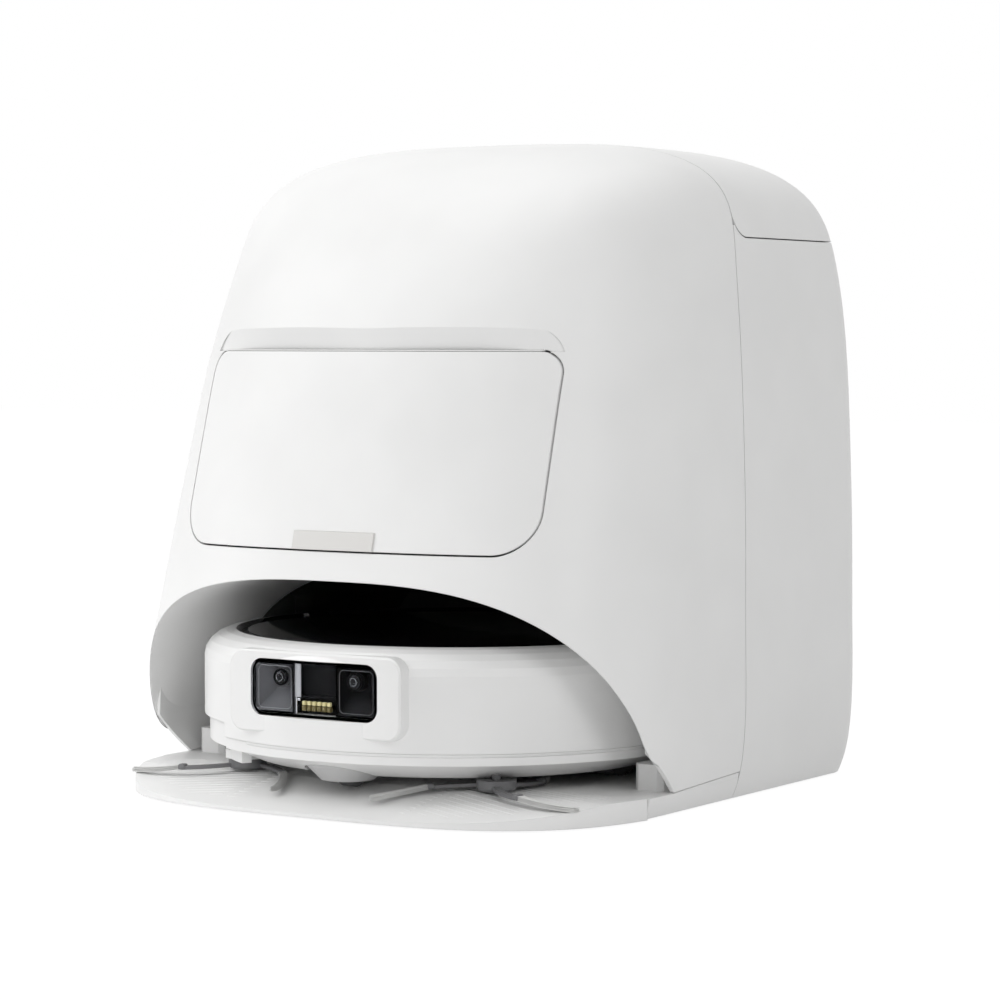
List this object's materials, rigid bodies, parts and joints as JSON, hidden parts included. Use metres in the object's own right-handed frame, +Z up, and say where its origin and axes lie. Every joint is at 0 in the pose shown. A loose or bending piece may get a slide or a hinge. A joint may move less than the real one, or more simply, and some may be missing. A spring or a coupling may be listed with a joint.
{
  "type": "robot vacuum",
  "caption": "White robot vacuum with spinning mops and side brushes, docked in the arched bay of a tall self-emptying wash station with front hatch and tank lid",
  "frame": {"origin": "on the floor under the middle of the whole part's box", "axes": "+Z up (height, the longest extent), +X to the station's left seen from its front (width, the shortest extent), -Y out of the bay's mouth"},
  "size_m": [0.4074, 0.4154, 0.443],
  "materials": {
    "white_plastic": "satin, soft gloss",
    "grey_plastic": "matte",
    "dark_plastic": "matte",
    "black_gloss": "high gloss",
    "clear_tank": "smoky, slightly clear",
    "window_glass": "dark tinted",
    "steel": "brushed",
    "copper_contact": "polished",
    "black_rubber": "matte",
    "grey_rubber": "matte",
    "fleece": "pile",
    "paper_fleece": "soft",
    "bristle": "satin",
    "board_green": "matte",
    "lamp": "lit lamps"
  },
  "bodies": {
    "station": {"front_shell": "white_plastic", "rear_housing": "white_plastic", "lid_hinge_pins": "steel", "hatch_hinge_pins": "steel", "base_plinth": "white_plastic", "wash_tray": "grey_plastic", "ramp_plate": "white_plastic", "rubber_feet": "black_rubber", "bay_liner": "black_gloss", "charging_contacts": "copper_contact", "inner_frame": "dark_plastic", "dust_chamber": "dark_plastic", "dust_bag": "paper_fleece", "bag_collar": "grey_plastic", "dust_duct": "dark_plastic", "clean_water_tank": "clear_tank", "clean_tank_cap": "white_plastic", "dirty_water_tank": "clear_tank", "dirty_tank_cap": "grey_plastic", "suction_motor": "dark_plastic", "water_pumps": "dark_plastic", "station_board": "board_green", "power_inlet": "dark_plastic"},
    "lid": {"tank_lid": "white_plastic"},
    "hatch": {"hatch_panel": "white_plastic", "hatch_pull_tab": "grey_plastic"},
    "robot": {"robot_chassis": "white_plastic", "rear_shell": "white_plastic", "top_deck": "dark_plastic", "top_cover": "black_gloss", "dust_box": "clear_tank", "roller_hood": "dark_plastic", "battery_pack": "dark_plastic", "blower": "dark_plastic", "mop_motors": "steel", "robot_contacts": "copper_contact"},
    "bumper": {"bumper_shell": "white_plastic", "sensor_window": "window_glass", "camera_left": "dark_plastic", "camera_right": "dark_plastic", "depth_sensor": "dark_plastic", "led_strip": "lamp"},
    "arm_left": {"wheel_arm_left": "dark_plastic"},
    "arm_right": {"wheel_arm_right": "dark_plastic"},
    "wheel_left": {"wheel_hub_left": "dark_plastic", "wheel_tyre_left": "black_rubber"},
    "wheel_right": {"wheel_hub_right": "dark_plastic", "wheel_tyre_right": "black_rubber"},
    "roller": {"main_roller": "grey_rubber"},
    "mop_left": {"mop_disc_left": "grey_plastic", "mop_pad_left": "fleece"},
    "mop_right": {"mop_disc_right": "grey_plastic", "mop_pad_right": "fleece"},
    "caster": {"caster_swivel": "grey_plastic"},
    "caster_roll": {"caster_wheel": "black_rubber"},
    "brush_swing": {"swing_arm": "white_plastic"},
    "brush_left": {"side_brush_left": "grey_plastic", "brush_tufts_left": "bristle"},
    "brush_right": {"side_brush_right": "grey_plastic", "brush_tufts_right": "bristle"}
  },
  "joints": [
    {"name": "lid_hinge", "type": "hinge", "parent": "station", "child": "lid", "pos_m": [0, 0.19504, 0.377], "axis": [-1, 0, 0], "range_deg": [0, 70]},
    {"name": "hatch_hinge", "type": "hinge", "parent": "station", "child": "hatch", "pos_m": [0, -0.13151, 0.2887], "axis": [-1, 0, 0], "range_deg": [0, 75]},
    {"name": "robot_dock", "type": "slide", "parent": "station", "child": "robot", "axis": [0, -1, 0], "range_m": [0, 0.4]},
    {"name": "bumper_press", "type": "slide", "parent": "robot", "child": "bumper", "axis": [0, 1, 0], "range_m": [0, 0.0035], "stiffness_N_per_m": 900, "springref_m": -0.002},
    {"name": "suspension_left", "type": "hinge", "parent": "robot", "child": "arm_left", "pos_m": [-0.1, -0.057, 0.0375], "axis": [1, 0, 0], "range_deg": [0, 6], "stiffness_Nm_per_rad": 2, "springref_deg": -11.46},
    {"name": "suspension_right", "type": "hinge", "parent": "robot", "child": "arm_right", "pos_m": [0.1, -0.057, 0.0375], "axis": [1, 0, 0], "range_deg": [0, 6], "stiffness_Nm_per_rad": 2, "springref_deg": -11.46},
    {"name": "wheel_spin_left", "type": "hinge", "parent": "arm_left", "child": "wheel_left", "pos_m": [-0.118, -0.013, 0.051], "axis": [1, 0, 0], "continuous": true},
    {"name": "wheel_spin_right", "type": "hinge", "parent": "arm_right", "child": "wheel_right", "pos_m": [0.118, -0.013, 0.051], "axis": [1, 0, 0], "continuous": true},
    {"name": "roller_spin", "type": "hinge", "parent": "robot", "child": "roller", "pos_m": [0, -0.043, 0.035], "axis": [1, 0, 0], "continuous": true},
    {"name": "mop_spin_left", "type": "hinge", "parent": "robot", "child": "mop_left", "pos_m": [-0.066, 0.073, 0.0255], "axis": [0, 0, 1], "continuous": true},
    {"name": "mop_spin_right", "type": "hinge", "parent": "robot", "child": "mop_right", "pos_m": [0.066, 0.073, 0.0255], "axis": [0, 0, 1], "continuous": true},
    {"name": "caster_swivel", "type": "hinge", "parent": "robot", "child": "caster", "pos_m": [0, -0.151, 0.0355], "axis": [0, 0, 1], "continuous": true},
    {"name": "caster_roll", "type": "hinge", "parent": "caster", "child": "caster_roll", "pos_m": [0, -0.147, 0.0256], "axis": [1, 0, 0], "continuous": true},
    {"name": "brush_swing", "type": "hinge", "parent": "robot", "child": "brush_swing", "pos_m": [-0.138, -0.051, 0.0245], "axis": [0, 0, -1], "range_deg": [0, 22]},
    {"name": "brush_spin_left", "type": "hinge", "parent": "brush_swing", "child": "brush_left", "pos_m": [-0.101, -0.127, 0.0245], "axis": [0, 0, 1], "continuous": true, "deforming": ["brush_tufts_left"]},
    {"name": "brush_spin_right", "type": "hinge", "parent": "robot", "child": "brush_right", "pos_m": [0.101, -0.127, 0.0245], "axis": [0, 0, -1], "continuous": true, "deforming": ["brush_tufts_right"]}
  ],
  "couplings": [
    {"joint": "mop_spin_right", "follows": "mop_spin_left", "ratio": -1}
  ]
}
